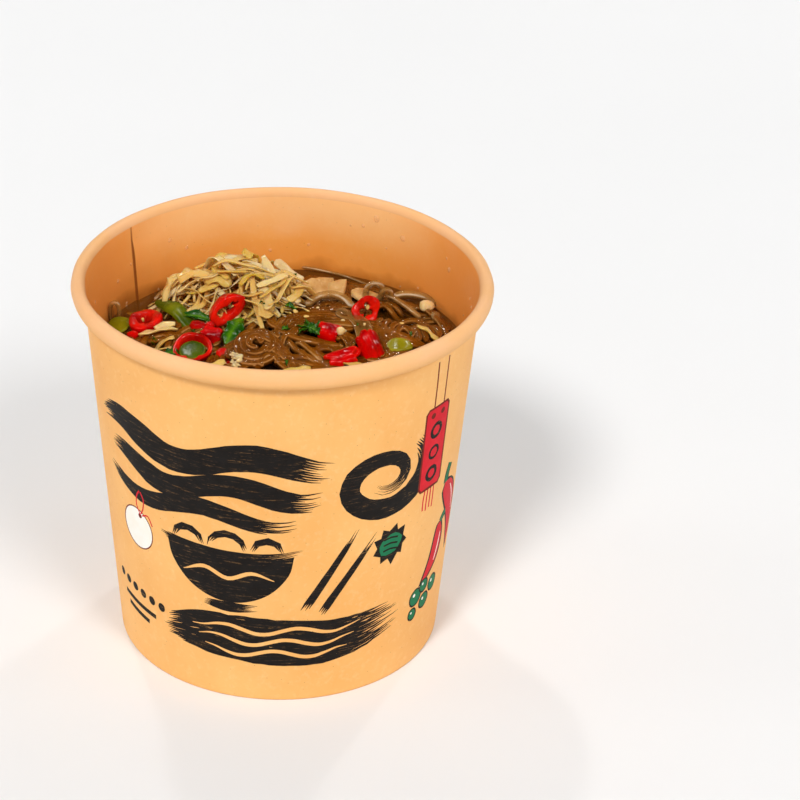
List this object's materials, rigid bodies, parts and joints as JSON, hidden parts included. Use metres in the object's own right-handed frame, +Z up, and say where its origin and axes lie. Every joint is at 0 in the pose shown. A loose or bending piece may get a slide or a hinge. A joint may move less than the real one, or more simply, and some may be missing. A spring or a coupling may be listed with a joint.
{
  "type": "instant noodle cup",
  "caption": "Open kraft paper cup with a rolled rim, filled with broth, glass noodles, shredded cabbage, chili and pepper pieces.",
  "frame": {"origin": "centre of the ring that the cup stands on, at the bottom", "axes": "+Z up along the cup's axis, -Y towards the printed front, +X to the right seen from the front"},
  "size_m": [0.118, 0.118, 0.112],
  "materials": {
    "kraft_board": "coated kraft paper board, printed outside with flat black, red, white and green",
    "broth": "clear dark brown broth with oil on its surface",
    "glass_noodle": "wet translucent starch noodles, amber brown",
    "cabbage": "wet pale cream to yellow-green shreds and flakes",
    "chili": "wet glossy red pepper skin and flesh",
    "green_pepper": "wet dark green pepper skin and leaf",
    "olive_pepper": "wet yellow-green pepper flesh"
  },
  "bodies": {
    "root": {"cup_wall": "kraft_board", "cup_base": "kraft_board", "broth": "broth", "noodle_heap": "glass_noodle", "cabbage_heap": "cabbage", "white_stalk": "cabbage", "cabbage_chip_a": "cabbage", "cabbage_chip_b": "cabbage", "cabbage_chip_c": "cabbage", "cabbage_chip_front": "cabbage", "chili_ring_left": "chili", "chili_ring_long": "chili", "chili_ring_large": "chili", "chili_ring_right": "chili", "chili_ring_front_a": "chili", "chili_ring_front_b": "chili", "chili_lump_mid": "chili", "chili_piece_centre": "chili", "chili_piece_front": "chili", "chili_fold_right": "chili", "chili_slice_near": "chili", "pepper_disc": "green_pepper", "green_strip_left": "green_pepper", "green_strip_front": "green_pepper", "green_leaf_centre": "green_pepper", "pepper_slice_left": "olive_pepper", "pepper_slice_right": "olive_pepper", "pepper_slice_front": "olive_pepper"}
  },
  "joints": []
}
